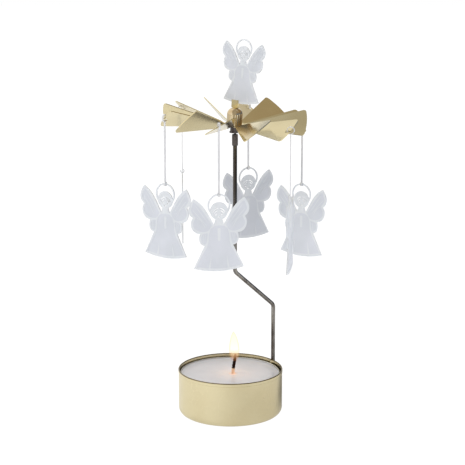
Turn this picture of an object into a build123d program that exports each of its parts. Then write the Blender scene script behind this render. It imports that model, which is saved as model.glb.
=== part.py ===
from build123d import *
from math import cos, sin, radians
import os

# Angel chime carousel: a brass cup holds a tealight, a bent wire spindle stands in a flute
# of the cup's wall, and a twelve bladed brass rotor turns on the spindle's point. Six flat
# angels hang from every other blade on thin hooked strips, and a smaller one stands on top.
# Millimetres, +Z up, origin at the centre of the cup's underside. Front is towards -Y.

# Cup, which fits round the tealight
cup_height = 17.6
hem_proud = 0.12
hem_height = 1.4
cup_wall = 0.4
cup_corner_radius = 2.4

# Flute and strap in the cup's wall, which hold the spindle
socket_angle = 35.6
socket_set_out = 0.9
socket_play = 0.09
socket_skin = 0.4
socket_floor = 3.6
strap_bottom = 6.0
strap_height = 6.0

# Spindle, bent from wire
wire_radius = 0.8
spindle_reach = 18.55
lower_bend_height = 43.4
upper_bend_height = 57.0
bend_radius = 2.6
needle_radius = 0.35
needle_set_in = 0.3
point_length = 1.6
point_tip_radius = 0.08
pivot_height = 118.25

# Ferrule crimped on the spindle under the rotor
ferrule_radius = 1.15
ferrule_drop = 13.25
ferrule_length = 4.4
ferrule_edge = 0.2
snug_play = 0.02
cut_overrun = 1.0

# Tealight
shell_radius = 19.3
shell_height = 15.9
shell_wall = 0.3
shell_corner_play = 0.1
tealight_play = 0.5
tealight_shift = 0.2
seat_play = 0.05
wax_below_edge = 0.5
wax_play = 0.03
meniscus_drop = 0.25
meniscus_width = 1.2
meniscus_middle_shares = (0.33, 0.67)
wick_offset = 1.2
wick_radius = 0.62
wick_length = 22.6
wick_lean = 0.9
wick_bend_radius = 7.0
sustainer_radius = 7.0
sustainer_thickness = 0.3
sustainer_neck_radius = 1.1
sustainer_neck_height = 3.0

# Rotor: one sheet, with a hub disc and blades twisted and bent up on their necks by hand.
# It hangs a little heavy on one side, so it leans that way on the spindle's point.
blade_count = 12
sheet_thickness = 0.35
rotor_drop = 5.65
hub_disc_radius = 3.2
blade_tip_radius = 27.84
blade_half_angle = 13.5
blade_root_radius = 6.4
blade_root_width = 2.9
blade_neck_width = 1.5
blade_corner_radius = 1.1
first_blade_angle = -41.4
hung_twist_angle = 34.0
free_twist_angle = 45.0
twist_offset_angles = (0.0, -4.0, 0.0, 9.0, 0.0, 0.0, 0.0, 0.0, 0.0, 0.0, 0.0, -7.0)
blade_lift_angle = 6.5
lift_offset_angles = (-1.4, 2.0, -1.5, 1.5, 3.0, 0.0, 0.0, -1.0, -0.7, 1.5, 1.5, -0.8)
rotor_lean_angle = 3.5
rotor_lean_heading_angle = -14.0
hook_hole_radius = 0.85
hook_hole_edge = 1.3
hook_hole_across = -0.8
neck_stage_shares = (0, 0.35, 0.7, 1)

# Rotor bearing: a flanged tube through the sheet, and a cap with the pivot seat
tube_radius = 1.4
tube_bore_radius = 1.15
tube_top_drop = 3.35
tube_length = 4.5
flange_radius = 1.65
flange_thickness = 0.5
cap_radius = 2.95
cap_over_pivot = 1.25
cap_crown_radius = 2.5
cap_cavity_radius = 1.5
seat_clearance = 0.04
seat_depth = 0.9

# Hangers: flat strip, bent to a ring at the top and to a small eye at the foot
strip_width = 0.7
strip_thickness = 0.25
ring_inner_radius = 1.2
ring_open_start_angle = 210.0
ring_open_angle = 36.0
eye_inner_radius = 0.56
eye_open_start_angle = 30.0
eye_open_angle = 50.0
hanger_drop = 24.74
hook_yaw_angle = 40.0
hook_yaw_offset_angles = (-7.5, -2.5, -1.0, 4.0, 0.0, -14.0)

# Angels, cut from sheet: sizes of the figure at the length of a hanging one
angel_height = 28.75
angel_thickness = 0.4
halo_radius = 4.25
halo_line = 0.56
head_radius = 3.3
head_drop = 6.35
neck_half_width = 1.15
neck_in_head_share = 0.8
slit_foot_half = 1.85
slit_foot_drop = 11.4
cut_line = 0.26
top_angel_height = 24.2
top_angel_turn_angle = -34.0
top_angel_offset = 2.4
top_angel_rise = 1.7

# Clip that holds the top figure over the cap
clip_width = 2.8
clip_skin = 0.35
clip_slot_play = 0.03
clip_depth = 1.2
clip_gap = 0.25

# Outline of one wing and skirt side, as shares of the figure's height:
# half width, then drop below the halo's top
wing_inner_shares = ((0.145, 0.250), (0.212, 0.152), (0.330, 0.054))
wing_top_lobe_shares = ((0.378, 0.130), (0.393, 0.205), (0.336, 0.297))
wing_mid_lobe_shares = ((0.362, 0.365), (0.345, 0.445), (0.242, 0.503))
wing_low_lobe_shares = ((0.256, 0.560), (0.243, 0.628), (0.184, 0.662))
skirt_side_shares = ((0.254, 0.805), (0.327, 0.953))

# Open cuts in the face: middle of the stroke, half width out and drop, then its end
parting_shares = ((0.012, 0.186), (0.052, 0.204), (0.079, 0.240))
fringe_shares = ((0.020, 0.218), (0.042, 0.230), (0.060, 0.248))
eye_shares = ((0.028, 0.263), (0.039, 0.270), (0.050, 0.264))
mouth_shares = ((-0.016, 0.294), (0.0, 0.303), (0.016, 0.294))

# Worked out places
socket_radius = wire_radius + socket_play
bore_radius = shell_radius + tealight_play
body_radius = bore_radius + cup_wall
cup_outer_radius = body_radius + hem_proud
shell_corner_radius = cup_corner_radius - cup_wall - shell_corner_play
socket_centre_radius = bore_radius + socket_set_out
socket_x = socket_centre_radius * cos(radians(socket_angle))
socket_y = socket_centre_radius * sin(radians(socket_angle))
axis_radius = socket_centre_radius - spindle_reach
axis_x = axis_radius * cos(radians(socket_angle))
axis_y = axis_radius * sin(radians(socket_angle))
shell_x = -tealight_shift * cos(radians(socket_angle))
shell_y = -tealight_shift * sin(radians(socket_angle))
shell_floor = cup_wall + seat_play
ferrule_bottom = pivot_height - ferrule_drop
rotor_height = pivot_height - rotor_drop
tube_top = pivot_height - tube_top_drop
tube_bottom = tube_top - tube_length
cap_top = pivot_height + cap_over_pivot
top_angel_foot = cap_top + top_angel_rise
hook_hole_place = blade_tip_radius - hook_hole_edge
ring_mid_radius = ring_inner_radius + strip_thickness / 2
blade_pitch_angle = 360 / blade_count
hung_blades = range(0, blade_count, 2)
rotor_turn = Rot(0, 0, rotor_lean_heading_angle)
rotor_lean = rotor_turn * Rot(0, rotor_lean_angle, 0) * rotor_turn.inverse()
rotor_place = Pos(axis_x, axis_y, pivot_height) * rotor_lean * Pos(0, 0, -pivot_height)


def save(solid, node):
    solid.label = node
    export_step(solid, os.path.join("parts", node + ".step"))


def turned(edges):
    """A closed outline of radius and height, turned about the upright axis."""
    return revolve(Plane.XZ * make_face(edges), Axis.Z)


def ring_stock(outer, inner, bottom, height):
    """A plain tube, or a plain rod when the inner radius is zero."""
    face = Circle(outer) - Circle(inner) if inner else Circle(outer)
    return Pos(0, 0, bottom) * extrude(face, height)


def polyline_edges(points):
    return [Line(a, b) for a, b in zip(points, points[1:])]


def make_cup():
    rim_round = (cup_outer_radius - bore_radius) / 2
    rim_middle = cup_height - rim_round
    hem_bottom = cup_height - hem_height
    hem_round = hem_proud
    inner_corner = cup_corner_radius - cup_wall
    outline = [
        Line((0, cup_wall), (0, 0)), Line((0, 0), (body_radius - cup_corner_radius, 0)),
        RadiusArc((body_radius - cup_corner_radius, 0), (body_radius, cup_corner_radius),
                  -cup_corner_radius),
        Line((body_radius, cup_corner_radius), (body_radius, hem_bottom)),
        RadiusArc((body_radius, hem_bottom), (cup_outer_radius, hem_bottom + hem_round),
                  -hem_round),
        Line((cup_outer_radius, hem_bottom + hem_round), (cup_outer_radius, rim_middle)),
        RadiusArc((cup_outer_radius, rim_middle), (bore_radius, rim_middle), -rim_round),
        Line((bore_radius, rim_middle), (bore_radius, cup_corner_radius)),
        RadiusArc((bore_radius, cup_corner_radius), (bore_radius - inner_corner, cup_wall),
                  inner_corner),
        Line((bore_radius - inner_corner, cup_wall), (0, cup_wall))]
    return turned(outline)


def make_tray():
    """The cup, with the inward flute and the outward strap for the spindle."""
    cup = make_cup()
    outer = socket_radius + socket_skin
    flute_height = cup_height - hem_proud - socket_floor
    place = Rot(0, 0, socket_angle) * Pos(socket_centre_radius, 0, 0)
    flute_wall = place * ring_stock(outer, 0, socket_floor, flute_height)
    inside = ring_stock(bore_radius + cup_wall / 2, 0, 0, cup_height)
    strap = place * ring_stock(outer, 0, strap_bottom, strap_height)
    bore = place * ring_stock(socket_radius, 0, socket_floor, cup_height)
    return cup + (flute_wall & inside) + strap - bore


def make_spindle():
    foot = (socket_x, socket_y, socket_floor + seat_play)
    wire_end = ferrule_bottom + ferrule_length - needle_set_in
    shoulder = pivot_height - point_length
    route = FilletPolyline(
        foot, (socket_x, socket_y, lower_bend_height),
        (axis_x, axis_y, upper_bend_height), (axis_x, axis_y, wire_end), radius=bend_radius)
    wire = sweep(Plane(origin=foot, z_dir=(0, 0, 1)) * Circle(wire_radius), path=route)
    needle = Pos(axis_x, axis_y, 0) * turned(polyline_edges([
        (0, wire_end), (needle_radius, wire_end), (needle_radius, shoulder),
        (point_tip_radius, pivot_height), (0, pivot_height), (0, wire_end)]))
    return wire + needle


def make_ferrule():
    tube = ring_stock(ferrule_radius, wire_radius + snug_play, ferrule_bottom, ferrule_length)
    rims = tube.edges().filter_by(GeomType.CIRCLE).sort_by(SortBy.RADIUS)[-2:]
    return Pos(axis_x, axis_y, 0) * chamfer(rims, ferrule_edge)


def make_shell():
    inner = shell_radius - shell_wall
    inner_corner = shell_corner_radius - shell_wall
    lip = shell_radius - shell_wall / 2
    top = shell_height - shell_wall / 2
    outline = polyline_edges([(0, shell_wall), (0, 0), (shell_radius - shell_corner_radius, 0)])
    outline += [
        RadiusArc((shell_radius - shell_corner_radius, 0), (shell_radius, shell_corner_radius),
                  -shell_corner_radius),
        Line((shell_radius, shell_corner_radius), (shell_radius, top)),
        ThreePointArc((shell_radius, top), (lip, top + shell_wall / 2), (inner, top)),
        Line((inner, top), (inner, shell_corner_radius)),
        RadiusArc((inner, shell_corner_radius), (inner - inner_corner, shell_wall), inner_corner),
        Line((inner - inner_corner, shell_wall), (0, shell_wall))]
    return Pos(shell_x, shell_y, shell_floor) * turned(outline)


def wick_line():
    """The wick's lower end, waist and upper end, leaning a little as it burns."""
    foot = shell_floor + shell_wall + sustainer_thickness + wax_play
    x = shell_x + wick_offset
    knee = shell_floor + shell_height - wax_below_edge
    return (x, shell_y, foot), (x, shell_y, knee), (x + wick_lean, shell_y, foot + wick_length)


def make_wick():
    foot, knee, tip = wick_line()
    route = FilletPolyline(foot, knee, tip, radius=wick_bend_radius)
    return sweep(Plane(origin=foot, z_dir=(0, 0, 1)) * Circle(wick_radius), path=route)


def make_sustainer():
    foot = wick_line()[0]
    disc = ring_stock(sustainer_radius, 0, shell_floor + shell_wall + wax_play / 2,
                      sustainer_thickness)
    neck = ring_stock(sustainer_neck_radius, 0, foot[2] - wax_play, sustainer_neck_height)
    bore = ring_stock(wick_radius + snug_play, 0, foot[2] - wax_play / 2,
                      sustainer_neck_height + cut_overrun)
    return Pos(foot[0], foot[1], 0) * (disc + neck - bore)


def make_wax():
    """Solid wax to just under the shell's edge, drawn up a little at its rim."""
    outer = shell_radius - shell_wall - wax_play
    corner = shell_corner_radius - shell_wall
    base = shell_wall + wax_play
    top = shell_height - wax_below_edge
    low = top - meniscus_drop
    inner = outer - meniscus_width
    out_share, drop_share = meniscus_middle_shares
    middle = (outer - meniscus_width * out_share, top - meniscus_drop * drop_share)
    outline = [
        Line((0, low), (0, base)), Line((0, base), (outer - corner, base)),
        RadiusArc((outer - corner, base), (outer, base + corner), -corner),
        Line((outer, base + corner), (outer, top)),
        ThreePointArc((outer, top), middle, (inner, low)), Line((inner, low), (0, low))]
    wax = Pos(shell_x, shell_y, shell_floor) * turned(outline)
    foot = wick_line()[0]
    disc_room = ring_stock(sustainer_radius + wax_play, 0, 0,
                           shell_floor + shell_wall + sustainer_thickness + wax_play * 2)
    neck_room = ring_stock(sustainer_neck_radius + wax_play, 0, 0,
                           foot[2] + sustainer_neck_height)
    wick_room = ring_stock(wick_radius + wax_play, 0, 0, shell_floor + top + cut_overrun)
    return wax - Pos(foot[0], foot[1], 0) * (disc_room + neck_room + wick_room)


def blade_frame(number):
    """Where a blade's flat outline goes: its twist on the neck, its lift and its place round."""
    twist = hung_twist_angle if number in hung_blades else free_twist_angle
    turn = Rot(0, 0, first_blade_angle + number * blade_pitch_angle)
    lift_angle = blade_lift_angle + lift_offset_angles[number]
    hub_edge = turn * Pos(hub_disc_radius, 0, rotor_height)
    lifted = rotor_place * hub_edge * Rot(0, -lift_angle, 0) * Pos(-hub_disc_radius, 0, 0)
    return lifted, twist + twist_offset_angles[number]


def blade_outline():
    half = radians(blade_half_angle)
    corner = (blade_tip_radius * cos(half), blade_tip_radius * sin(half))
    low_corner = (corner[0], -corner[1])
    root = (blade_root_radius, blade_root_width / 2)
    low_root = (blade_root_radius, -blade_root_width / 2)
    face = make_face([
        Line(low_root, low_corner), ThreePointArc(low_corner, (blade_tip_radius, 0), corner),
        Line(corner, root), Line(root, low_root)])
    return fillet(face.vertices().sort_by(Axis.X)[-2:], blade_corner_radius)


def make_blade(number):
    lifted, twist = blade_frame(number)
    face = blade_outline()
    if number in hung_blades:
        face -= Pos(hook_hole_place, hook_hole_across) * Circle(hook_hole_radius)
    plate = Pos(0, 0, -sheet_thickness / 2) * extrude(face, sheet_thickness)
    neck_start = hub_disc_radius - sheet_thickness * 2
    sections = []
    for share in neck_stage_shares:
        radius = neck_start + (blade_root_radius - neck_start) * share
        width = blade_neck_width + (blade_root_width - blade_neck_width) * share ** 2
        angle = radians(twist * share * share * (3 - 2 * share))
        across = Plane(origin=(radius, 0, 0), x_dir=(0, cos(angle), sin(angle)), z_dir=(1, 0, 0))
        sections.append(across * Rectangle(width, sheet_thickness))
    neck = loft(sections, ruled=True)
    return lifted * (neck + Rot(twist, 0, 0) * plate)


def make_rotor():
    disc = ring_stock(hub_disc_radius, 0, rotor_height - sheet_thickness / 2, sheet_thickness)
    blades = [make_blade(number) for number in range(blade_count)]
    rotor = rotor_place * disc + blades
    clear = ring_stock(tube_radius + snug_play, 0, tube_bottom, tube_top - tube_bottom)
    return rotor - rotor_place * clear


def make_bearing_tube():
    height = tube_top - tube_bottom
    tube = ring_stock(tube_radius, tube_bore_radius, tube_bottom, height)
    flange = ring_stock(flange_radius, tube_bore_radius, tube_bottom - flange_thickness,
                        flange_thickness)
    return rotor_place * (tube + flange)


def make_cap():
    """Turned brass cap: it sits on the hub, grips the tube and rides on the spindle's point."""
    bottom = rotor_height + sheet_thickness / 2 + snug_play
    mouth = tube_radius + snug_play
    seat_top = pivot_height + seat_clearance
    seat_foot = seat_top - seat_depth
    crown_foot = cap_top - cap_crown_radius
    flat = cap_radius - cap_crown_radius
    outline = polyline_edges([
        (0, cap_top), (0, seat_top), (cap_cavity_radius, seat_foot),
        (cap_cavity_radius, tube_top + snug_play), (mouth, tube_top + snug_play),
        (mouth, bottom), (cap_radius, bottom), (cap_radius, crown_foot)])
    outline += [
        RadiusArc((cap_radius, crown_foot), (flat, cap_top), -cap_crown_radius),
        Line((flat, cap_top), (0, cap_top))]
    return rotor_place * turned(outline)


def scaled(shares, height, side=1):
    return [(side * out * height, -drop * height) for out, drop in shares]


def cut_stroke(shares, height, side=1):
    """A narrow bent slot through the face along three points."""
    points = scaled(shares, height, side)
    path = Spline(points)
    return trace(path, line_width=cut_line * height / angel_height)


def angel_side(height, side):
    """Half of the outline, from the slit beside the neck round the wing to the hem's middle."""
    k = height / angel_height
    foot = (side * slit_foot_half * k, -slit_foot_drop * k)
    inner = scaled(wing_inner_shares, height, side)
    top_lobe = scaled(wing_top_lobe_shares, height, side)
    mid_lobe = scaled(wing_mid_lobe_shares, height, side)
    low_lobe = scaled(wing_low_lobe_shares, height, side)
    skirt = scaled(skirt_side_shares, height, side)
    return [
        Spline([foot] + inner), Spline([inner[-1]] + top_lobe),
        Spline([top_lobe[-1]] + mid_lobe), Spline([mid_lobe[-1]] + low_lobe),
        Spline([low_lobe[-1]] + skirt)]


def angel_face(height):
    """The figure's outline: x across, y up from the top of the halo."""
    k = height / angel_height
    left = angel_side(height, -1)
    right = angel_side(height, 1)
    hem_left = left[-1] @ 1
    hem_right = right[-1] @ 1
    neck_top = -(head_drop + head_radius * neck_in_head_share) * k
    neck = neck_half_width * k
    foot_left = left[0] @ 0
    foot_right = right[0] @ 0
    shoulders = [
        Line(foot_left, (-neck, neck_top)), Line((-neck, neck_top), (neck, neck_top)),
        Line((neck, neck_top), foot_right)]
    hem = ThreePointArc(hem_left, (0, -height), hem_right)
    body = make_face(left + right + shoulders + [hem])
    head = Pos(0, -head_drop * k) * Circle(head_radius * k)
    halo_centre = Pos(0, -halo_radius * k)
    halo = Circle(halo_radius * k) - Circle((halo_radius - halo_line) * k)
    figure = body + head + halo_centre * halo
    for side in (-1, 1):
        for shares in (parting_shares, fringe_shares, eye_shares):
            figure -= cut_stroke(shares, height, side)
    return figure - cut_stroke(mouth_shares, height)


def upright(face, thickness):
    """A figure drawn flat, stood up: across along X, up along Z, its front towards -Y."""
    return Rot(90, 0, 0) * Pos(0, 0, -thickness / 2) * extrude(face, thickness)


def hang_place(number):
    """The middle of a hanger's top ring, and the direction that its figure faces."""
    index = number // 2
    lifted, twist = blade_frame(number)
    yaw = hook_yaw_angle + hook_yaw_offset_angles[index]
    step = ring_mid_radius
    blade = lifted * Rot(twist, 0, 0)
    across = hook_hole_across + step * sin(radians(yaw)) / cos(radians(twist))
    point = blade * Pos(hook_hole_place + step * cos(radians(yaw)), across, 0)
    facing = first_blade_angle + number * blade_pitch_angle + yaw
    return point.position, facing


def make_hanger():
    """Drawn in the plane that the ring is bent in: ring at the origin, eye at the foot."""
    half = strip_thickness / 2
    ring = Circle(ring_inner_radius + strip_thickness) - Circle(ring_inner_radius)
    ring -= open_wedge(ring_inner_radius * 2, ring_open_start_angle, ring_open_angle)
    eye = Circle(eye_inner_radius + strip_thickness) - Circle(eye_inner_radius)
    eye -= open_wedge(eye_inner_radius * 2, eye_open_start_angle, eye_open_angle)
    top = -ring_inner_radius - half
    foot = -hanger_drop + eye_inner_radius + half
    stem = Pos(0, (top + foot) / 2) * Rectangle(strip_thickness, top - foot)
    profile = ring + Pos(0, -hanger_drop) * eye + stem
    return Rot(90, 0, 0) * Pos(0, 0, -strip_width / 2) * extrude(profile, strip_width)


def open_wedge(reach, start, spread):
    """The gap left in a bent ring, as a slice from its middle."""
    a, b = radians(start), radians(start + spread)
    corners = [(0, 0), (reach * cos(a), reach * sin(a)), (reach * cos(b), reach * sin(b)), (0, 0)]
    return make_face(polyline_edges(corners))


def make_hung_pair(number):
    centre, facing = hang_place(number)
    turn = Pos(centre.X, centre.Y, centre.Z) * Rot(0, 0, facing)
    halo_top = centre.Z - hanger_drop + halo_line / 2
    stand = Pos(centre.X, centre.Y, halo_top) * Rot(0, 0, facing + 90)
    return turn * make_hanger(), stand * upright(angel_face(angel_height), angel_thickness)


def top_place():
    along = radians(top_angel_turn_angle)
    shift = Pos(top_angel_offset * cos(along), top_angel_offset * sin(along),
                top_angel_foot + top_angel_height)
    return rotor_place * shift * Rot(0, 0, top_angel_turn_angle)


def make_clip():
    """A folded brass clip: a foot in the cap and two cheeks on the figure's hem."""
    cheek = angel_thickness / 2 + clip_slot_play
    outer = cheek + clip_skin
    bottom = cap_top + snug_play
    top = top_angel_foot + clip_depth
    block = Pos(0, 0, bottom) * extrude(Rectangle(clip_width, outer * 2), top - bottom)
    block = rotor_place * Rot(0, 0, top_angel_turn_angle) * block
    slot_width = angel_thickness + clip_slot_play * 2
    return block - top_place() * upright(angel_face(top_angel_height), slot_width)


def main():
    os.makedirs("parts", exist_ok=True)
    save(make_tray(), "candle_tray")
    save(make_spindle(), "spindle_rod")
    save(make_ferrule(), "rod_ferrule")
    save(make_shell(), "tealight_shell")
    save(make_wax(), "tealight_wax")
    save(make_sustainer(), "wick_sustainer")
    save(make_wick(), "wick")
    save(make_rotor(), "propeller")
    save(make_bearing_tube(), "bearing_tube")
    save(make_cap(), "bearing_cap")
    save(make_clip(), "top_clip")
    save(top_place() * upright(angel_face(top_angel_height), angel_thickness), "top_angel")
    for index, number in enumerate(hung_blades):
        hanger, angel = make_hung_pair(number)
        save(hanger, "hanger_%d" % (index + 1))
        save(angel, "angel_%d" % (index + 1))


main()
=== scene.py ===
from math import cos, pi, radians, sin, tan

import bmesh
import bpy
from mathutils import Matrix, Vector, geometry, noise


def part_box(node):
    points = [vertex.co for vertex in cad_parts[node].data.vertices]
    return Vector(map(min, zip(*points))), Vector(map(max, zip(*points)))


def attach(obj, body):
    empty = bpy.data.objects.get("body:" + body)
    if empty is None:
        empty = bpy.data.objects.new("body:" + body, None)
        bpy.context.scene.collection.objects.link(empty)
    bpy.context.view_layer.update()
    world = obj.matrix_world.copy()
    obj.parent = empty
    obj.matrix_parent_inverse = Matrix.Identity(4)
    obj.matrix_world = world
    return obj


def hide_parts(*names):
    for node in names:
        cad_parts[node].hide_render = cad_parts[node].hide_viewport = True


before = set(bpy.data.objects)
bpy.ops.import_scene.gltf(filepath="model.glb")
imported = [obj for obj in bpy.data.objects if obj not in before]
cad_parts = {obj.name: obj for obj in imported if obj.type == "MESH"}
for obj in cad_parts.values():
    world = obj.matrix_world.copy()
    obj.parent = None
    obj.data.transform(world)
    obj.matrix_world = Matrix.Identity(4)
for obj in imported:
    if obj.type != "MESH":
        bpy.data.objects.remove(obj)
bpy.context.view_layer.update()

mm = 0.001
weldReach = 1e-7  # metres within which two corners of a new mesh become one
levelPlay = 0.01  # mm within which a corner counts as lying in a face


def newPiece(name, mesh, body, materials, smooth=True):
    # every new piece of the object goes through here: object, finish and body
    piece = bpy.data.objects.new(name, mesh)
    bpy.context.scene.collection.objects.link(piece)
    for material in materials:
        mesh.materials.append(material)
    if smooth is not None:  # None keeps the shading that the mesh came with
        mesh.polygons.foreach_set("use_smooth", [smooth] * len(mesh.polygons))
    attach(piece, body)
    return piece


def meshFrom(name, points, faces):
    mesh = bpy.data.meshes.new(name)
    mesh.from_pydata([tuple(p) for p in points], [], faces)
    build = bmesh.new()
    build.from_mesh(mesh)
    bmesh.ops.remove_doubles(build, verts=build.verts, dist=weldReach)
    bmesh.ops.recalc_face_normals(build, faces=build.faces)
    build.to_mesh(mesh)
    build.free()
    return mesh


def ringFaces(rows, steps):
    # the faces between closed rings of points that follow one another
    faces = []
    for row in range(rows - 1):
        for step in range(steps):
            after = (step + 1) % steps
            faces.append((row * steps + step, row * steps + after,
                          (row + 1) * steps + after, (row + 1) * steps + step))
    return faces


def lathe(name, profile, centre, steps, bend=None):
    # a profile of (radius, height) turned about an upright line; bend moves each ring sideways
    points = []
    for radius, height in profile:
        shift = bend(height) if bend else Vector((0, 0, 0))
        for step in range(steps):
            a = 2 * pi * step / steps
            points.append(Vector((centre[0] + radius * cos(a), centre[1] + radius * sin(a), height)) + shift)
    faces = ringFaces(len(profile), steps)
    for row in (0, len(profile) - 1):
        if profile[row][0] > weldReach:
            faces.append(tuple(row * steps + step for step in range(steps)))
    return meshFrom(name, points, faces)


def tubeAlong(name, path, radii, sides):
    # a round tube along a list of points, closed at both ends
    points = []
    aside = Vector((0, 1, 0.01))  # no path here runs along it
    for index, point in enumerate(path):
        ahead = path[min(index + 1, len(path) - 1)] - path[max(index - 1, 0)]
        across = ahead.cross(aside).normalized()
        other = ahead.cross(across).normalized()
        for side in range(sides):
            a = 2 * pi * side / sides
            points.append(point + (across * cos(a) + other * sin(a)) * radii[index])
    faces = ringFaces(len(path), sides)
    faces.append(tuple(range(sides)))
    faces.append(tuple((len(path) - 1) * sides + side for side in range(sides)))
    return meshFrom(name, points, faces)


class Signal:
    # one socket, so that a sum of sockets reads as a sum
    def __init__(self, paint, socket):
        self.paint, self.socket = paint, socket

    def __add__(self, other):
        return self.paint.maths("ADD", self, other)

    def __sub__(self, other):
        return self.paint.maths("SUBTRACT", self, other)

    def __rsub__(self, other):
        return self.paint.maths("SUBTRACT", other, self)

    def __mul__(self, other):
        return self.paint.maths("MULTIPLY", self, other)

    def __truediv__(self, other):
        return self.paint.maths("DIVIDE", self, other)

    __radd__ = __add__
    __rmul__ = __mul__

    def clip(self):
        return self.paint.node("ShaderNodeClamp", {}, {"Value": self})


class Paint:
    # a material, or the world, whose nodes are all added by one method
    def __init__(self, name, owner=None):
        self.owner = owner or bpy.data.materials.new(name)
        self.owner.use_nodes = True
        self.tree = self.owner.node_tree
        self.tree.nodes.clear()

    def node(self, kind, settings, sockets, output=0):
        made = self.tree.nodes.new(kind)
        for key, value in settings.items():
            if key == "stops":
                stops = made.color_ramp.elements
                while len(stops) < len(value):
                    stops.new(0.5)
                for stop, (place, colour) in zip(stops, value):
                    stop.position, stop.color = place, colour
            else:
                setattr(made, key, value)
        for key, value in sockets.items():
            if isinstance(value, Signal):
                self.tree.links.new(value.socket, made.inputs[key])
            else:
                made.inputs[key].default_value = value
        return Signal(self, made.outputs[output]) if made.outputs else None

    def maths(self, operation, *terms):
        return self.node("ShaderNodeMath", {"operation": operation}, dict(enumerate(terms)))

    def place(self):
        return self.node("ShaderNodeTexCoord", {}, {}, "Object")

    def stretch(self, place, amounts):
        return self.node("ShaderNodeVectorMath", {"operation": "MULTIPLY"}, {0: place, 1: amounts})

    def length(self, place):
        return self.node("ShaderNodeVectorMath", {"operation": "LENGTH"}, {0: place}, "Value")

    def noise(self, place, scale, detail=3.0, roughness=0.5):
        return self.node("ShaderNodeTexNoise", {}, {
            "Vector": place, "Scale": scale, "Detail": detail, "Roughness": roughness})

    def axis(self, place, letter):
        return self.node("ShaderNodeSeparateXYZ", {}, {0: place}, letter)

    def mix(self, mask, low, high, blend="MIX"):
        # the node's colours are its sockets 6 and 7 and its output 2
        return self.node("ShaderNodeMix", {"data_type": "RGBA", "blend_type": blend}, {0: mask, 6: low, 7: high}, 2)

    def ramp(self, value, stops):
        return self.node("ShaderNodeValToRGB", {"stops": stops}, {0: value})

    def span(self, value, low, high, lowTo=0.0, highTo=1.0):
        return self.node("ShaderNodeMapRange", {"interpolation_type": "SMOOTHSTEP"}, {
            0: value, 1: low, 2: high, 3: lowTo, 4: highTo})

    def bump(self, height, strength, distance):
        return self.node("ShaderNodeBump", {}, {
            "Height": height, "Strength": strength, "Distance": distance})

    def surface(self, **sockets):
        names = {key.replace("_", " "): value for key, value in sockets.items()}
        shader = self.node("ShaderNodeBsdfPrincipled", {}, names)
        self.node("ShaderNodeOutputMaterial", {}, {0: shader})
        return self.owner


def rgb(red, green, blue):
    # a colour as it looks on screen, 0 to 255, for the shader
    def linear(value):
        value = value / 255
        return value / 12.92 if value <= 0.04045 else ((value + 0.055) / 1.055) ** 2.4
    return (linear(red), linear(green), linear(blue), 1.0)


def grey(value):
    return (value, value, value, 1.0)


# lengths in the forms and looks are in mm, and angles in degrees
wireForm = {"radius": 0.8, "lowerBend": 40.05, "upperBend": 55.95, "bendRadius": 2.6, "bendSteps": 10,
            "needleRadius": 0.35, "needleSetIn": 0.3, "pointLength": 1.6, "tipRadius": 0.08,
            "edge": 0.12, "sides": 32}
rotorLean = {"angle": 3.5, "heading": -14.0}
bladeForm = {"count": 12, "first": -41.4, "tip": 27.84, "halfAngle": 13.5, "sheet": 0.35, "belowPoint": 5.65,
             "disc": 3.2, "neckFrom": 2.5, "neckHalf": 0.75, "root": 6.4, "rootHalf": 1.45,
             "heading": (48.6, 51.4), "lift": (8.0, 11.85), "twist": (54.0, 34.7),  # the solid's, then as bent
             "discPlay": 0.02, "play": 0.12}

brassLook = {
    "cup": {"bright": rgb(232, 220, 181), "dull": rgb(223, 209, 169), "roughness": 0.26, "grain": 0.25,
            "clouds": 45.0},
    "rotor": {"bright": rgb(226, 213, 172), "dull": rgb(216, 201, 158), "roughness": 0.15, "grain": 0.2,
              "clouds": 45.0},
    "clip": {"bright": rgb(226, 210, 162), "dull": rgb(206, 186, 136), "roughness": 0.08, "grain": 0.1,
             "clouds": 90.0},
    # painted reflection: the dome's coarse, strong clouds of pale and deep brass stand in for the highlights and dark
    # patches that it mirrors
    "dome": {"bright": rgb(230, 214, 182), "dull": rgb(200, 166, 114), "roughness": 0.03, "grain": 0.05,
             "clouds": 150.0},
}
brassGrain = {"cloudFrom": 0.35, "cloudTo": 0.7, "cloudGloss": 0.05,
              "rolled": (1.0, 1.0, 14.0), "rollScale": 900.0, "rollRoughness": 0.6, "rollGloss": 0.08,
              "hairs": (6.0, 0.6, 1.0), "hairScale": 900.0, "hairDetail": 2.0, "hairFrom": 0.68, "hairTo": 0.74,
              "hairGloss": 0.05, "hairRelief": 0.2, "bump": 0.04, "depth": 0.02}
# painted shade: the top of the cup's rolled rim is painted dark, for the shade on its inner edge beside the wax
rimPaintedShade = {"tone": rgb(122, 108, 76), "from": 0.36, "to": 0.24}  # how far below the cup's rim it begins and is full
# painted light: single blades are painted brighter or darker than the rest, for the light and shade they mirror
paintedBladeLight = {1: 0.78, 3: 1.2, 4: 1.12, 9: 1.16}  # how bright single blades are against the others' 1


def axisPlace():
    # the spindle's upper line, about which the rotor turns
    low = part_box("spindle_rod")[0]
    return low.x + wireForm["radius"] * mm, low.y + wireForm["radius"] * mm


def paintBladeLight(paint, colour, place, form, bladeLight):
    # painted light: each blade is painted brighter or darker on its own, for the light and shade that it mirrors
    axisX, axisY = axisPlace()
    x, y = paint.axis(place, "X") - axisX, paint.axis(place, "Y") - axisY
    turned = paint.maths("FRACT", paint.maths("ARCTAN2", y, x) / (2 * pi) + 1.0)
    stops = []
    for number in range(form["count"]):
        heading = (form["first"] / 360.0 + number / form["count"]) % 1.0
        stops.append((heading, grey(bladeLight.get(number, 1.0) / 2)))  # halved, as a ramp ends at 1
    level = paint.ramp(turned, sorted(stops)) * 2.0
    return paint.node("ShaderNodeVectorMath", {"operation": "SCALE"}, {0: colour, "Scale": level})


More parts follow.
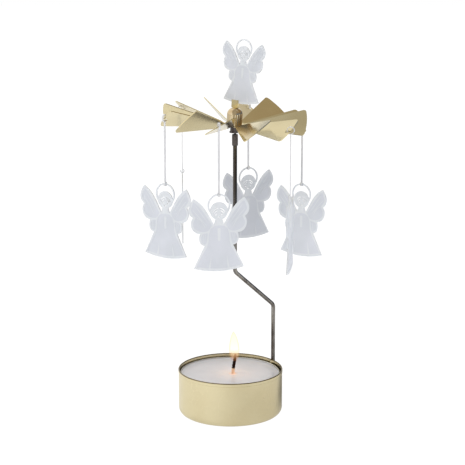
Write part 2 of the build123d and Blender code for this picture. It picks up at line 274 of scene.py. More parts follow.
def brassFinish(name, look, rimHeight=None, bladeLight=None):
    # rolled and lacquered brass: slow clouds of tone, fine rolling grain and a few hairline scratches; on the dome the
    # clouds are painted reflection, along the cup's rim a painted shade, on the rotor painted light per blade
    paint, grain = Paint(name), brassGrain
    place = paint.place()
    clouds = paint.noise(place, look["clouds"])
    rolled = paint.noise(paint.stretch(place, grain["rolled"]), grain["rollScale"],
                         roughness=grain["rollRoughness"])
    hairs = paint.noise(paint.stretch(place, grain["hairs"]), grain["hairScale"], grain["hairDetail"])
    scratch = paint.span(hairs, grain["hairFrom"], grain["hairTo"])
    colour = paint.mix(paint.span(clouds, grain["cloudFrom"], grain["cloudTo"]), look["bright"], look["dull"])
    # painted shade: the brass turns dark towards the top of the rim
    if rimHeight:
        near = paint.span(paint.axis(place, "Z"), rimHeight - rimPaintedShade["from"] * mm,
                          rimHeight - rimPaintedShade["to"] * mm)
        colour = paint.mix(near, colour, rimPaintedShade["tone"])
    if bladeLight:
        colour = paintBladeLight(paint, colour, place, bladeForm, bladeLight)
    rough = (look["roughness"] + (clouds - 0.5) * grain["cloudGloss"]
             + (rolled - 0.5) * grain["rollGloss"] * look["grain"] + scratch * grain["hairGloss"])
    relief = rolled * look["grain"] + scratch * grain["hairRelief"]
    return paint.surface(Base_Color=colour, Metallic=1.0, Roughness=rough,
                         Normal=paint.bump(relief, grain["bump"], grain["depth"] * mm))


steelLook = {
    "wire": {"bright": rgb(158, 154, 148), "dark": rgb(98, 93, 88), "roughness": 0.2},
    "collar": {"bright": rgb(104, 98, 95), "dark": rgb(66, 60, 57), "roughness": 0.25},
}
steelGrain = {"drawn": (1.0, 1.0, 0.05), "drawScale": 1600.0, "drawRoughness": 0.6, "drawGloss": 0.2,
              "stainScale": 160.0, "stainDetail": 4.0, "stainGloss": 0.15, "from": 0.35, "to": 0.65,
              "bump": 0.15, "depth": 0.03}
smoke = {"tone": rgb(72, 68, 65), "from": 45.0, "to": 100.0, "most": 0.8}  # the wire darkens above the flame


def steelFinish(name, look, smoked=None):
    # drawn wire: grain along its length
    paint, grain = Paint(name), steelGrain
    place = paint.place()
    drawn = paint.noise(paint.stretch(place, grain["drawn"]), grain["drawScale"],
                        roughness=grain["drawRoughness"])
    stains = paint.noise(place, grain["stainScale"], grain["stainDetail"])
    toneShare = paint.span(drawn * 0.5 + stains * 0.5, grain["from"], grain["to"])
    colour = paint.mix(toneShare, look["dark"], look["bright"])
    if smoked:
        height = paint.axis(place, "Z")
        sooty = paint.span(height, smoked["from"] * mm, smoked["to"] * mm, 0.0, smoked["most"])
        colour = paint.mix(sooty, colour, smoked["tone"])
    rough = look["roughness"] + (drawn - 0.5) * grain["drawGloss"] + (stains - 0.5) * grain["stainGloss"]
    return paint.surface(Base_Color=colour, Metallic=1.0, Roughness=rough,
                         Normal=paint.bump(drawn, grain["bump"], grain["depth"] * mm))


silverLook = {
    "line": {"light": rgb(241, 244, 248), "shade": rgb(236, 240, 245), "roughness": 0.45, "metal": 0.45},
    "field": {"light": rgb(233, 236, 244), "shade": rgb(227, 231, 238), "roughness": 0.5, "metal": 0.45},
    "strip": {"light": rgb(232, 232, 234), "shade": rgb(218, 219, 222), "roughness": 0.4, "metal": 0.5},
    "shell": {"light": rgb(226, 224, 218), "shade": rgb(212, 209, 202), "roughness": 0.24, "metal": 1.0},
    "sustainer": {"light": rgb(190, 190, 190), "shade": rgb(160, 160, 160), "roughness": 0.35, "metal": 1.0},
}
silverGrain = {"frostScale": 2600.0, "frostDetail": 2.0, "frostRoughness": 0.7, "frostGloss": 0.12,
               "cloudScale": 90.0, "cloudFrom": 0.3, "cloudTo": 0.7, "cloudGloss": 0.08,
               "bump": 0.08, "depth": 0.02}
# painted light and shade: every angel gets an even dulling ('usual') with random clouds ('spread'); angel 3, in shade
# behind the spindle, is painted darker and angel 2 lighter ('single')
silverDullingAndShade = {"tone": rgb(176, 176, 178), "spread": 0.1, "usual": 0.12,
              "single": {2: 0.0, 3: 0.42}}  # how dull single angels are, as a share


def silverFinish(name, look, toneShare=0.0):
    # pale sheet metal: etched fields are frosted, lines and strips are brighter; a given share dulls the colour, with
    # random clouds of dulling, and per angel it paints shade on angel 3 and light on angel 2
    paint, grain = Paint(name), silverGrain
    place = paint.place()
    frost = paint.noise(place, grain["frostScale"], grain["frostDetail"], grain["frostRoughness"])
    clouds = paint.noise(place, grain["cloudScale"])
    colour = paint.mix(paint.span(clouds, grain["cloudFrom"], grain["cloudTo"]), look["light"], look["shade"])
    dulled = (toneShare + (clouds - 0.5) * silverDullingAndShade["spread"]).clip()
    colour = paint.mix(dulled, colour, silverDullingAndShade["tone"], "MULTIPLY")
    rough = look["roughness"] + (frost - 0.5) * grain["frostGloss"] + (clouds - 0.5) * grain["cloudGloss"]
    return paint.surface(Base_Color=colour, Metallic=look["metal"], Roughness=rough,
                         Normal=paint.bump(frost, grain["bump"], grain["depth"] * mm))


waxLook = {"pale": rgb(203, 201, 203), "deep": rgb(196, 195, 197), "warm": rgb(240, 200, 165),
           "cloudScale": 120.0, "cloudFrom": 0.3, "cloudTo": 0.7,
           "glowFrom": 0.6, "glowReach": 2.4, "glowMost": 0.6,
           "roughness": 0.32, "rippleScale": 300.0, "rippleGloss": 0.1,
           "soak": 0.35, "soakColours": (0.8, 0.6, 0.5), "soakDepth": 2.0, "bump": 0.08, "depth": 0.05}


def waxFinish(name, look, wickFoot):
    # paraffin: faint clouds, a painted warm glow of the flame's light round the wick, and light that soaks in a little
    paint = Paint(name)
    place = paint.place()
    clouds = paint.noise(place, look["cloudScale"])
    away = paint.node("ShaderNodeVectorMath", {"operation": "DISTANCE"}, {0: place, 1: wickFoot}, "Value")
    # painted light: the flame's warm glow on the wax round the wick's foot
    glow = paint.span(away, look["glowFrom"] * mm, look["glowReach"] * mm, look["glowMost"], 0.0)
    colour = paint.mix(paint.span(clouds, look["cloudFrom"], look["cloudTo"]), look["pale"], look["deep"])
    colour = paint.mix(glow, colour, look["warm"])
    ripples = paint.noise(place, look["rippleScale"])
    return paint.surface(Base_Color=colour, Roughness=look["roughness"] + (ripples - 0.5) * look["rippleGloss"],
                         Subsurface_Weight=look["soak"], Subsurface_Radius=look["soakColours"],
                         Subsurface_Scale=look["soakDepth"] * mm,
                         Normal=paint.bump(ripples, look["bump"], look["depth"] * mm))


# painted light: the cotton's peach is the flame's warm light on the pale wick, the same colour as the glow painted on
# the wax
wickLook = {"flameLitCotton": rgb(240, 200, 165), "char": rgb(12, 7, 5), "ash": rgb(44, 26, 18),
            "charFrom": 1.3, "charFull": 2.1, "ragged": 0.8, "fibreScale": 2400.0, "fibreRoughness": 0.7,
            "ember": rgb(214, 112, 52), "emberReach": 2.2, "emberMost": 0.6, "emberStrength": 0.8,
            "roughness": 0.9, "shine": 0.1, "bump": 0.8, "depth": 0.1}


def wickFinish(name, look, foot, tip):
    # pale waxed cotton at the foot, painted peach for the flame's light on it, charred above it, glowing where it
    # stands in the flame
    paint = Paint(name)
    place = paint.place()
    fibre = paint.noise(place, look["fibreScale"], roughness=look["fibreRoughness"])
    height = paint.axis(place, "Z")
    burnt = paint.span(height + (fibre - 0.5) * look["ragged"] * mm, foot + look["charFrom"] * mm,
                       foot + look["charFull"] * mm)
    hot = paint.span(height, tip - look["emberReach"] * mm, tip, 0.0, look["emberMost"])
    colour = paint.mix(burnt, look["flameLitCotton"], paint.mix(fibre, look["char"], look["ash"]))
    return paint.surface(Base_Color=colour, Roughness=look["roughness"], Specular_IOR_Level=look["shine"],
                         Emission_Color=paint.mix(hot, grey(0.0), look["ember"]),
                         Emission_Strength=look["emberStrength"],
                         Normal=paint.bump(fibre, look["bump"], look["depth"] * mm))


print("finishes: writing")
hungAngels = range(1, 7)
cupBrass = brassFinish("cupBrass", brassLook["cup"], rimHeight=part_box("candle_tray")[1].z)
rotorBrass = brassFinish("rotorBrass", brassLook["rotor"], bladeLight=paintedBladeLight)
clipBrass = brassFinish("clipBrass", brassLook["clip"])
domeBrassWithPaintedReflection = brassFinish("domeBrassWithPaintedReflection", brassLook["dome"])
rodSteel = steelFinish("rodSteel", steelLook["wire"], smoke)
collarSteel = steelFinish("collarSteel", steelLook["collar"])
angelSilver = {}
for number in (0, *hungAngels):  # 0 is the top angel
    # painted shade on angel 3 and painted light on angel 2, an even dulling on the rest
    dullingAndShade = silverDullingAndShade["single"].get(number, silverDullingAndShade["usual"])
    angelSilver[number] = [silverFinish("%sSilver%d" % (part, number), silverLook[part], dullingAndShade)
                           for part in ("line", "field")]
stripSilver = silverFinish("stripSilver", silverLook["strip"])
shellAluminium = silverFinish("shellAluminium", silverLook["shell"])
sustainerTin = silverFinish("sustainerTin", silverLook["sustainer"])

finishOf = {
    "candle_tray": cupBrass, "bearing_tube": collarSteel, "bearing_cap": domeBrassWithPaintedReflection,
    "top_clip": clipBrass, "rod_ferrule": collarSteel,
    "tealight_shell": shellAluminium, "wick_sustainer": sustainerTin,
}
for number in hungAngels:
    finishOf["hanger_%d" % number] = stripSilver
for node, finish in finishOf.items():
    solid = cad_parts[node]
    solid.data.materials.clear()
    solid.data.materials.append(finish)


def roundedPath(corners, radius, steps):
    # straight runs joined by arcs
    path = [corners[0]]
    for before, corner, after in zip(corners, corners[1:], corners[2:]):
        into, out = (corner - before).normalized(), (after - corner).normalized()
        half = into.angle(out) / 2
        reach = radius * tan(half)
        centre = corner + (out - into).normalized() * radius / cos(half)
        start, end = corner - into * reach - centre, corner + out * reach - centre
        path += [centre + start.slerp(end, step / steps).normalized() * radius for step in range(steps + 1)]
    return path + [corners[-1]]


def wireMesh(form):
    # the wire stands where the solid does, with its two bends at their photographed heights
    low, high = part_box("spindle_rod")
    thick, edge = form["radius"] * mm, form["edge"] * mm
    footX, footY = high.x - thick, high.y - thick
    axisX, axisY = axisPlace()
    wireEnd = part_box("rod_ferrule")[1].z - form["needleSetIn"] * mm
    path = [Vector((footX, footY, low.z))] + roundedPath([
        Vector((footX, footY, low.z + edge)), Vector((footX, footY, form["lowerBend"] * mm)),
        Vector((axisX, axisY, form["upperBend"] * mm)), Vector((axisX, axisY, wireEnd - edge))],
        form["bendRadius"] * mm, form["bendSteps"])
    radii = [thick - edge] + [thick] * (len(path) - 1)
    for height, radius in ((wireEnd, thick - edge), (wireEnd, form["needleRadius"] * mm),
                           (high.z - form["pointLength"] * mm, form["needleRadius"] * mm),
                           (high.z, form["tipRadius"] * mm)):
        path.append(Vector((axisX, axisY, height)))
        radii.append(radius)
    return tubeAlong("bentWire", path, radii, form["sides"])


print("spindle: bending the wire")
wire = newPiece("bentWire", wireMesh(wireForm), "spindle", [rodSteel])
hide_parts("spindle_rod")


def eased(value):
    value = min(max(value, 0.0), 1.0)
    return value * value * (3 - 2 * value)


def between(pair, share):
    return radians(pair[0] + (pair[1] - pair[0]) * share)


def bladePlace(form, share):
    # from the flat blade to its place in mm: share 0 is where the solid has it and 1 where it is bent to
    axisX, axisY = axisPlace()
    point = Vector((axisX, axisY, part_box("spindle_rod")[1].z)) / mm
    side = Matrix.Rotation(radians(rotorLean["heading"]), 4, "Z")
    tilt = side @ Matrix.Rotation(radians(rotorLean["angle"]), 4, "Y") @ side.inverted()
    hinge = Matrix.Translation((form["disc"], 0, 0))
    return (Matrix.Translation(point) @ tilt @ Matrix.Translation((0, 0, -form["belowPoint"]))
            @ Matrix.Rotation(between(form["heading"], share), 4, "Z")
            @ hinge @ Matrix.Rotation(-between(form["lift"], share), 4, "Y") @ hinge.inverted())


def onBlade(form, spot):
    # whether a point of the untwisted sheet is on this blade, outside the hub's disc
    if spot.x < form["disc"] + form["discPlay"] or abs(spot.z) > form["sheet"] / 2 + form["play"]:
        return False
    neck = (spot.x - form["neckFrom"]) / (form["root"] - form["neckFrom"])
    if neck < 1:
        half = form["neckHalf"] + (form["rootHalf"] - form["neckHalf"]) * neck ** 2
    else:
        cornerX = form["tip"] * cos(radians(form["halfAngle"]))
        cornerY = form["tip"] * sin(radians(form["halfAngle"]))
        along = (spot.x - form["root"]) / (cornerX - form["root"])
        half = form["rootHalf"] + (cornerY - form["rootHalf"]) * along
    return abs(spot.y) < half + form["play"]


def bentSheet(form):
    # the solid's sheet with one blade bent again: flatter on its neck, higher and a little further round
    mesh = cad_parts["propeller"].data.copy()
    mesh.name = "bentRotor"
    mesh.materials.clear()
    back = bladePlace(form, 0).inverted()
    for vertex in mesh.vertices:
        spot = back @ (vertex.co / mm)
        twisted = eased((spot.x - form["neckFrom"]) / (form["root"] - form["neckFrom"]))
        flat = Matrix.Rotation(-between(form["twist"], 0) * twisted, 4, "X") @ spot
        if onBlade(form, flat):
            share = eased((spot.x - form["disc"]) / (form["root"] - form["disc"]))
            turned = Matrix.Rotation(between(form["twist"], 1) * twisted, 4, "X") @ flat
            vertex.co = (bladePlace(form, share) @ turned) * mm
    return mesh


print("rotor: bending one blade again")
sheet = newPiece("bentRotor", bentSheet(bladeForm), "rotor", [rotorBrass], smooth=None)
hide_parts("propeller")


# the angels are the solid plate's own outline, with etched fields and bright lines between them
angelRelief = {  # places are shares of the figure's height: half width, then drop below the halo's top
    "fullHeight": 28.75, "etchDepth": 0.05, "ridgeWidth": 0.24, "ridgeEnd": 0.35, "steps": 6, "weld": 1e-5,
    "fields": {
        "wing": ((0.092, 0.400), (0.160, 0.290), (0.228, 0.194), (0.320, 0.100), (0.352, 0.150),
                 (0.364, 0.205), (0.320, 0.274), (0.306, 0.296), (0.336, 0.362), (0.320, 0.430),
                 (0.232, 0.478), (0.140, 0.470)),
        "sleeve": ((0.146, 0.500), (0.212, 0.512), (0.236, 0.562), (0.224, 0.618), (0.176, 0.642),
                   (0.156, 0.570)),
    },
    "gown": ((0.0, 0.404), (0.064, 0.413), (0.110, 0.445), (0.134, 0.520), (0.138, 0.610),
             (0.162, 0.690), (0.232, 0.808), (0.294, 0.928), (0.150, 0.957), (0.0, 0.966)),
    "ridges": (
        ((0.306, 0.142), (0.245, 0.228), (0.150, 0.362)),
        ((0.340, 0.198), (0.272, 0.276), (0.165, 0.398)),
        ((0.300, 0.292), (0.240, 0.330), (0.178, 0.430)),
        ((0.176, 0.512), (0.184, 0.570), (0.182, 0.632)),
        ((0.200, 0.512), (0.207, 0.565), (0.203, 0.622))),
    "raised": (
        ((0.0, 0.440), (0.020, 0.446), (0.016, 0.600), (0.0, 0.606)),
        ((0.101, 0.790), (0.106, 0.880), (0.112, 0.962), (0.138, 0.957), (0.119, 0.880))),
}


def curveThrough(points, steps):
    # an even curve through given points
    ends = [points[0] * 2 - points[1]] + list(points) + [points[-1] * 2 - points[-2]]
    line = []
    for index in range(1, len(ends) - 2):
        a, b, c, d = ends[index - 1:index + 3]
        for step in range(steps):
            t = step / steps
            line.append(0.5 * ((b * 2) + (c - a) * t + (a * 2 - b * 5 + c * 4 - d) * t * t
                               + (b * 3 - a - c * 3 + d) * t * t * t))
    return line + [points[-1]]


def strokeShape(points, width, endShare):
    # a thin leaf-shaped outline along a line of points
    left, right = [], []
    last = len(points) - 1
    for index, point in enumerate(points):
        ahead = (points[min(index + 1, last)] - points[max(index - 1, 0)]).normalized()
        half = width / 2 * (endShare + (1 - endShare) * sin(pi * index / last))
        left.append(point + Vector((-ahead.y, ahead.x)) * half)
        right.append(point - Vector((-ahead.y, ahead.x)) * half)
    return left + right[::-1]


def insideLoops(point, loops):
    inside = False
    for loop in loops:
        for a, b in zip(loop, loop[1:] + loop[:1]):
            if (a.y > point.y) != (b.y > point.y):
                if point.x < a.x + (point.y - a.y) / (b.y - a.y) * (b.x - a.x):
                    inside = not inside
    return inside


def faceLoops(solid, across, up, outward):
    # the closed outlines of a flat plate's front face, in mm across and up
    keyOf, edges = {}, {}
    reach = max(v.co.dot(outward) for v in solid.data.vertices)

    def key(vertex):
        spot = (round(vertex.co.dot(across) / mm, 4), round(vertex.co.dot(up) / mm, 4))
        keyOf[spot] = Vector(spot)
        return spot

    for face in solid.data.polygons:
        corners = [solid.data.vertices[i] for i in face.vertices]
        if min(c.co.dot(outward) for c in corners) < reach - levelPlay * mm:
            continue
        spots = [key(c) for c in corners]
        for a, b in zip(spots, spots[1:] + spots[:1]):
            if (b, a) in edges:
                del edges[(b, a)]
            else:
                edges[(a, b)] = True
    after = {}
    for a, b in edges:
        after[a] = b
    loops = []
    while after:
        start, spot = next(iter(after.items()))
        loop = [start]
        del after[start]
        while spot != start and spot in after:
            loop.append(spot)
            spot = after.pop(spot)
        loops.append([keyOf[s] for s in loop])
    return loops


def halves(points, height, middle, top):
    # the same line on the right and on the left of the figure
    for side in (1, -1):
        yield [Vector((middle + side * x * height, top - y * height)) for x, y in points]


def etching(relief, height, middle, top):
    # the outlines of the etched fields and of the lines that stay raised in them, in mm
    scale = height / relief["fullHeight"]
    fields, ridges = [], []
    for points in relief["fields"].values():
        for side in halves(points, height, middle, top):
            fields.append(curveThrough(side + side[:1], relief["steps"])[:-1])
    gown = list(halves(relief["gown"], height, middle, top))
    fields.append(gown[0] + gown[1][::-1][1:-1])
    for points in relief["ridges"]:
        for side in halves(points, height, middle, top):
            line = curveThrough(side, relief["steps"])
            ridges.append(strokeShape(line, relief["ridgeWidth"] * scale, relief["ridgeEnd"]))
    for points in relief["raised"]:
        ridges += halves(points, height, middle, top)
    return fields, ridges


def angelPlate(node, body, relief, up, silver):
    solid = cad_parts[node]
    outward = max(solid.data.polygons, key=lambda face: face.area).normal.copy()
    outward *= -1 if outward.y > 0 else 1
    across = up.cross(outward).normalized()
    loops = faceLoops(solid, across, up, outward)
    outline = [point for loop in loops for point in loop]
    top = max(point.y for point in outline)
    height = top - min(point.y for point in outline)
    middle = (min(point.x for point in outline) + max(point.x for point in outline)) / 2
    fields, ridges = etching(relief, height, middle, top)
    points, edges = [], []
    for loop in loops + fields + ridges:
        start = len(points)
        points += [p.to_2d() for p in loop]
        edges += [(start + i, start + (i + 1) % len(loop)) for i in range(len(loop))]
    flat, _, cells, _, _, _ = geometry.delaunay_2d_cdt(points, edges, [], 0, relief["weld"])
    kept = []
    for cell in cells:
        spot = sum((flat[i] for i in cell), Vector((0, 0))) / len(cell)
        if insideLoops(spot, loops):
            inField = any(insideLoops(spot, [field]) for field in fields)
            onRidge = any(insideLoops(spot, [ridge]) for ridge in ridges)
            kept.append((cell, inField and not onRidge))
    faceAt = max(v.co.dot(outward) for v in solid.data.vertices)
    backAt = min(v.co.dot(outward) for v in solid.data.vertices)
    depth = relief["etchDepth"] * height / relief["fullHeight"] * mm
    corners, indexOf, faces, finishes = [], {}, [], []

    def corner(i, front, etched):
        if (i, front, etched) not in indexOf:
            level = faceAt - depth * etched if front else backAt + depth * etched
            indexOf[(i, front, etched)] = len(corners)
            corners.append((across * flat[i].x + up * flat[i].y) * mm + outward * level)
        return indexOf[(i, front, etched)]

    sides = {}
    for cell, etched in kept:
        for front in (True, False):
            faces.append(tuple(corner(i, front, etched) for i in cell))
            finishes.append(int(etched))
        for a, b in zip(cell, cell[1:] + cell[:1]):
            sides.setdefault((min(a, b), max(a, b)), []).append(etched)
    for (a, b), levels in sides.items():
        if len(levels) == 1:
            faces.append((corner(a, True, levels[0]), corner(b, True, levels[0]),
                          corner(b, False, levels[0]), corner(a, False, levels[0])))
            finishes.append(0)
        elif levels[0] != levels[1]:
            for front in (True, False):
                faces.append((corner(a, front, True), corner(b, front, True),
                              corner(b, front, False), corner(a, front, False)))
                finishes.append(0)
    mesh = bpy.data.meshes.new(node + "Plate")
    mesh.from_pydata(corners, [], faces)
    mesh.polygons.foreach_set("material_index", finishes)
    build = bmesh.new()
    build.from_mesh(mesh)
    bmesh.ops.recalc_face_normals(build, faces=build.faces)
    build.to_mesh(mesh)
    build.free()
    plate = newPiece(node + "Plate", mesh, body, silver, smooth=False)
    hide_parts(node)


print("angels: etching seven plates")
lean, heading = radians(rotorLean["angle"]), radians(rotorLean["heading"])
leanUp = Vector((sin(lean) * cos(heading), sin(lean) * sin(heading), cos(lean)))
angelPlate("top_angel", "rotor", angelRelief, leanUp, angelSilver[0])
for number in hungAngels:
    angelPlate("angel_%d" % number, "angel_body_%d" % number, angelRelief, Vector((0, 0, 1)), angelSilver[number])


waxForm = {"meniscus": 0.9, "meniscusSteps": 8, "rise": 0.25, "climb": 0.5, "climbReach": 1.6,
           "poolRadius": 5.5, "poolDip": 0.2, "ripple": 0.03, "rippleSize": 4.0,
           "footBevel": 1.4, "wallShares": (0.3, 0.6, 0.9), "topRings": 26, "steps": 96}
waxLow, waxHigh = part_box("tealight_wax")
wickLow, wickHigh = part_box("wick")
waxCentre = (waxLow + waxHigh) / 2
waxRadius = (waxHigh.x - waxLow.x) / 2
wickRadius = (wickHigh.y - wickLow.y) / 2
wickFoot = Vector((wickLow.x + wickRadius, (wickLow.y + wickHigh.y) / 2, waxHigh.z))


def waxProfile(form, level):
    # down the middle, out along the bottom, up the wall, and back over the drawn-up edge to the middle
    edge, bevel = waxHigh.z, form["footBevel"] * mm
    profile = [(0.0, waxLow.z), (waxRadius - bevel, waxLow.z), (waxRadius, waxLow.z + bevel)]
    profile += [(waxRadius, waxLow.z + (edge - waxLow.z) * share) for share in form["wallShares"]]
    for step in range(form["meniscusSteps"] + 1):
        t = step / form["meniscusSteps"]
        profile.append((waxRadius - form["meniscus"] * mm * t, edge - (edge - level) * (1 - (1 - t) ** 2)))
    inner, rings = waxRadius - form["meniscus"] * mm, form["topRings"]
    return profile + [(inner * (1 - ring / rings), level) for ring in range(1, rings)] + [(0.0, level)]


def waxBody(form):
    # a lathe with its top drawn up at the shell, and a shallow melted pool round the wick
    level = waxHigh.z - form["rise"] * mm
    inner = waxRadius - form["meniscus"] * mm
    mesh = lathe("waxBody", waxProfile(form, level), waxCentre, form["steps"])
    for vertex in mesh.vertices:
        spot = vertex.co
        if spot.z < level - levelPlay * mm:
            continue
        away = (spot.xy - waxCentre.xy).length
        if away > inner:
            continue
        toWick = (spot.xy - wickFoot.xy).length
        pool = max(0.0, 1 - (toWick / (form["poolRadius"] * mm)) ** 2)
        climb = form["climb"] * mm * max(0.0, 1 - toWick / (form["climbReach"] * mm)) ** 2
        calm = 1 - (away / inner) ** 4
        wave = noise.noise(Vector((spot.x, spot.y, 0)) / (form["rippleSize"] * mm)) * form["ripple"] * mm * calm
        spot.z += wave - form["poolDip"] * mm * pool * calm + climb
    return mesh


wickForm = {"radius": 0.38, "strands": 3, "turns": 6.5, "twistRadius": 0.28, "steps": 90, "sides": 10,
            "leanPower": 1.4, "crook": 0.3, "taperFrom": 0.85, "taper": 0.45}


def wickPath(share):
    # straight to the wax, then leaning over as the solid wick does, with a small crook near the top
    low = Vector((wickFoot.x, wickFoot.y, wickLow.z))
    tip = Vector((wickHigh.x - wickRadius, wickFoot.y, wickHigh.z - wickForm["radius"] * mm))
    height = low.z + (tip.z - low.z) * share
    over = max(0.0, (height - wickFoot.z) / (tip.z - wickFoot.z))
    crook = wickForm["crook"] * mm * over * over * sin(over * pi)
    return Vector((low.x + (tip.x - low.x) * over ** wickForm["leanPower"] + crook, low.y, height))


def wickStrand(form, strand):
    path, radii = [], []
    for step in range(form["steps"] + 1):
        share = step / form["steps"]
        a = 2 * pi * (strand / form["strands"] + share * form["turns"])
        ending = max(0.0, (share - form["taperFrom"]) / (1 - form["taperFrom"]))
        taper = 1 - form["taper"] * ending ** 2
        path.append(wickPath(share) + Vector((cos(a), sin(a), 0)) * form["twistRadius"] * mm * taper)
        radii.append(form["radius"] * mm * taper)
    return tubeAlong("wickYarn", path, radii, form["sides"])


print("tealight: pouring the wax, braiding the wick")
wax = newPiece("waxPool", waxBody(waxForm), "tealight", [waxFinish("paraffin", waxLook, wickFoot)])
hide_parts("tealight_wax")
charred = wickFinish("charredWick", wickLook, wickFoot.z, wickHigh.z)
for strand in range(wickForm["strands"]):
    yarn = newPiece("wickYarn%d" % (strand + 1), wickStrand(wickForm, strand), "tealight", [charred])
    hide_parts("wick")


flameForm = {"bottom": 4.6, "wickShare": 0.86, "height": 12.0, "radius": 2.05, "rings": 40, "steps": 40,
             "sway": 0.4, "footShape": 0.45, "tipShape": 0.75, "innerRaise": 0.25, "innerPower": 0.5}
flameLook = {  # share is how large the body is, fade how solid it looks at shares of its height
    "flameVeil": {"foot": rgb(236, 140, 82), "waist": rgb(252, 206, 140), "heart": rgb(248, 240, 184),
                  "tip": rgb(242, 241, 172), "strength": 1.0, "share": 1.0,
                  "fade": ((0.0, 0.1), (0.2, 0.16), (0.4, 0.32), (1.0, 0.3))},
    "flameCore": {"foot": rgb(246, 176, 120), "waist": rgb(255, 236, 200), "heart": rgb(255, 255, 252),
                  "tip": rgb(252, 251, 226), "strength": 1.3, "share": 0.74,
                  "fade": ((0.0, 0.05), (0.22, 0.16), (0.42, 0.9), (1.0, 0.8))},
}
flameStops = {"foot": 0.0, "waist": 0.26, "heart": 0.4, "tip": 1.0}


def flameFinish(name, look, low, height):
    # light only: orange at the wick, white at the heart, pale yellow at the tip
    paint = Paint(name)
    up = (paint.axis(paint.place(), "Z") - low) / height
    colour = paint.ramp(up, [(stop, look[part]) for part, stop in flameStops.items()])
    solidness = paint.ramp(up, [(stop, grey(level)) for stop, level in look["fade"]])
    return paint.surface(Base_Color=grey(0.0), Roughness=1.0, Specular_IOR_Level=0.0, Alpha=solidness,
                         Emission_Color=colour, Emission_Strength=look["strength"])


def flameProfile(form, low, radius, height):
    waist = form["footShape"] / (form["footShape"] + form["tipShape"])
    fullest = waist ** form["footShape"] * (1 - waist) ** form["tipShape"]
    profile = []
    for ring in range(form["rings"] + 1):
        t = ring / form["rings"]
        fullness = t ** form["footShape"] * (1 - t) ** form["tipShape"] / fullest
        profile.append((radius * fullness, low + height * t))
    return profile


flameLow = waxHigh.z + flameForm["bottom"] * mm
flameAt = wickPath(flameForm["wickShare"])


def flameSway(height):
    t = (height - flameLow) / (flameForm["height"] * mm)
    return Vector((-flameForm["sway"] * mm * t * t, 0, 0))


print("flame: a veil and a core")
for name, look in flameLook.items():
    share = look["share"]
    height = flameForm["height"] * mm * share ** flameForm["innerPower"]
    start = flameLow + (1 - share) * flameForm["innerRaise"] * flameForm["height"] * mm
    profile = flameProfile(flameForm, start, flameForm["radius"] * mm * share, height)
    glow = flameFinish(name + "Light", look, start, height)
    newPiece(name, lathe(name, profile, flameAt, flameForm["steps"], flameSway), "tealight", [glow])


studio = {  # lengths here are in metres
    "floorHalf": 3.0, "nearWhite": 0.9, "farGrey": 0.85, "greyFrom": 0.45, "greyTo": 0.9,
    "floorShown": 0.9, "floorStrength": 1.1,
    "dull": {"reach": 0.07, "fadeTo": 0.105, "from": -0.045, "to": 0.03, "grey": 0.7},
    "patch": {"at": (0.041, 0.036, 0.0), "turn": 64.0, "long": 0.052, "wide": 0.017, "core": 0.4, "grey": 0.24},
    "footGlow": {"from": 0.03, "to": 0.06, "share": 0.6},
    "ambient": 0.62,
    "dim": {"colour": rgb(178, 172, 160), "from": 0.0, "to": 0.5, "above": 0.6, "back": 0.9},
    "side": {"warm": rgb(158, 144, 122), "cool": rgb(120, 132, 154), "from": 0.15, "to": 0.6,
             "coolBelow": 0.1, "warmAbove": 0.5},
    "aim": (0, 0, 0.07),
    "key": {"at": (-0.75, -0.55, 0.85), "size": 0.7, "power": 3.8},
    "fill": {"at": (0.9, -0.35, 0.5), "size": 0.9, "power": 4.0},
    "top": {"at": (0.05, 0.15, 1.1), "size": 0.8, "power": 3.0},
    "candle": {"power": 0.002, "radius": 0.0015, "above": 0.003, "colour": (1.0, 0.55, 0.22)},
}


def layFloor(look):
    # white for the camera but for the object's shadow; the metal mirrors its dull side and a dark patch
    half = look["floorHalf"]
    mesh = bpy.data.meshes.new("studioFloor")
    mesh.from_pydata([(-half, -half, 0), (half, -half, 0), (half, half, 0), (-half, half, 0)], [], [(0, 1, 2, 3)])
    floor = bpy.data.objects.new("studioFloor", mesh)
    bpy.context.scene.collection.objects.link(floor)
    paint = Paint("studioSweep")
    ray = paint.node("ShaderNodeLightPath", {}, {}, "Is Camera Ray")
    place = paint.place()
    dull, patch, foot = look["dull"], look["patch"], look["footGlow"]
    away = paint.length(place)
    toPatch = paint.length(paint.node("ShaderNodeMapping", {"vector_type": "TEXTURE"}, {
        "Vector": place, "Location": patch["at"], "Rotation": (0.0, 0.0, radians(patch["turn"])),
        "Scale": (patch["long"], patch["wide"], 1.0)}))
    near = 1 - paint.span(away, dull["reach"], dull["fadeTo"])
    rightSide = paint.span(paint.axis(place, "X"), dull["from"], dull["to"])
    tone = paint.mix(near * rightSide, grey(look["nearWhite"]), grey(dull["grey"]))
    tone = paint.mix(1 - paint.span(toPatch, patch["core"], 1.0), tone, grey(patch["grey"]))
    tone = paint.mix(paint.span(away, look["greyFrom"], look["greyTo"]), tone, grey(look["farGrey"]))
    unshaded = paint.span(away, foot["from"], foot["to"], foot["share"], 0.0)
    matt = paint.node("ShaderNodeBsdfDiffuse", {}, {"Color": tone})
    lit = paint.node("ShaderNodeEmission", {}, {
        "Color": paint.mix(ray, tone, grey(1.0)), "Strength": look["floorStrength"]})
    share = ray * look["floorShown"] + (1 - ray) * unshaded
    shader = paint.node("ShaderNodeMixShader", {}, {0: share, 1: matt, 2: lit})
    paint.node("ShaderNodeOutputMaterial", {}, {0: shader})
    mesh.materials.append(paint.owner)


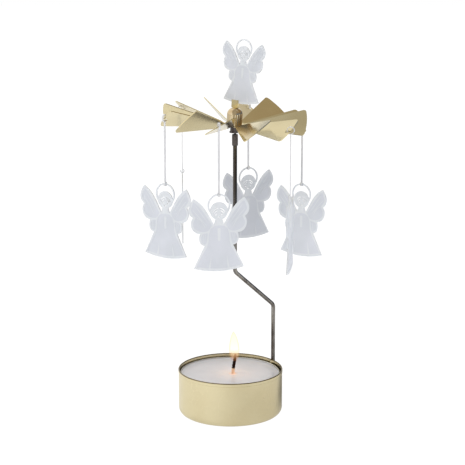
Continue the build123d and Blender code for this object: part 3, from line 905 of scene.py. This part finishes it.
def lightRoom(look):
    # white all round, dimmer overhead and at the right, as mirrored by the metal
    world = bpy.data.worlds.new("studioRoom")
    bpy.context.scene.world = world
    paint = Paint("studioRoom", world)
    way = paint.node("ShaderNodeTexCoord", {}, {}, "Generated")
    camera = paint.node("ShaderNodeLightPath", {}, {}, "Is Camera Ray")
    shiny = paint.node("ShaderNodeLightPath", {}, {}, "Is Glossy Ray")
    through = paint.node("ShaderNodeLightPath", {}, {}, "Is Transmission Ray")
    right, back, above = (paint.axis(way, letter) for letter in "XYZ")
    dim, side = look["dim"], look["side"]
    overhead = right + above * dim["above"] - back * dim["back"]
    shown = paint.mix(paint.span(overhead, dim["from"], dim["to"]), grey(1.0), dim["colour"])
    sideTone = paint.mix(paint.span(above, side["coolBelow"], side["warmAbove"]), side["cool"], side["warm"])
    shown = paint.mix(paint.span(right, side["from"], side["to"]), shown, sideTone)
    seen = paint.mix((shiny + through).clip(), grey(look["ambient"]), shown)
    seen = paint.mix(camera, seen, grey(1.0))
    backdrop = paint.node("ShaderNodeBackground", {}, {"Color": seen, "Strength": 1.0})
    paint.node("ShaderNodeOutputWorld", {}, {0: backdrop})


def hangLight(name, light, place):
    holder = bpy.data.objects.new(name, light)
    holder.location = place
    holder.visible_glossy = False
    bpy.context.scene.collection.objects.link(holder)
    return holder


print("studio: floor, room, lamps and camera")
layFloor(studio)
lightRoom(studio)
for name in ("key", "fill", "top"):
    look = studio[name]
    lamp = bpy.data.lights.new(name + "Lamp", "AREA")
    lamp.shape, lamp.size, lamp.energy = "SQUARE", look["size"], look["power"]
    holder = hangLight(name + "Lamp", lamp, look["at"])
    holder.rotation_euler = (Vector(studio["aim"]) - Vector(look["at"])).to_track_quat("-Z", "Y").to_euler()
candle = bpy.data.lights.new("candleLight", "POINT")
candle.energy, candle.color = studio["candle"]["power"], studio["candle"]["colour"]
candle.shadow_soft_size = studio["candle"]["radius"]
hangLight("candleLight", candle, flameAt + Vector((0, 0, studio["candle"]["above"])))

cameraView = {"at": (0.005, -0.53333, 0.18525), "pitch": 12.025, "turn": 0.45, "lens": 110.35, "sensor": 36.0,
              "nearest": 0.01, "farthest": 20.0}
camera = bpy.data.cameras.new("camera")
camera.lens, camera.sensor_width = cameraView["lens"], cameraView["sensor"]
camera.clip_start, camera.clip_end = cameraView["nearest"], cameraView["farthest"]
cameraHolder = bpy.data.objects.new("camera", camera)
cameraHolder.location = cameraView["at"]
cameraHolder.rotation_euler = (radians(90 - cameraView["pitch"]), 0, radians(cameraView["turn"]))
bpy.context.scene.collection.objects.link(cameraHolder)
bpy.context.scene.camera = cameraHolder
bpy.context.scene.view_settings.view_transform = "Standard"
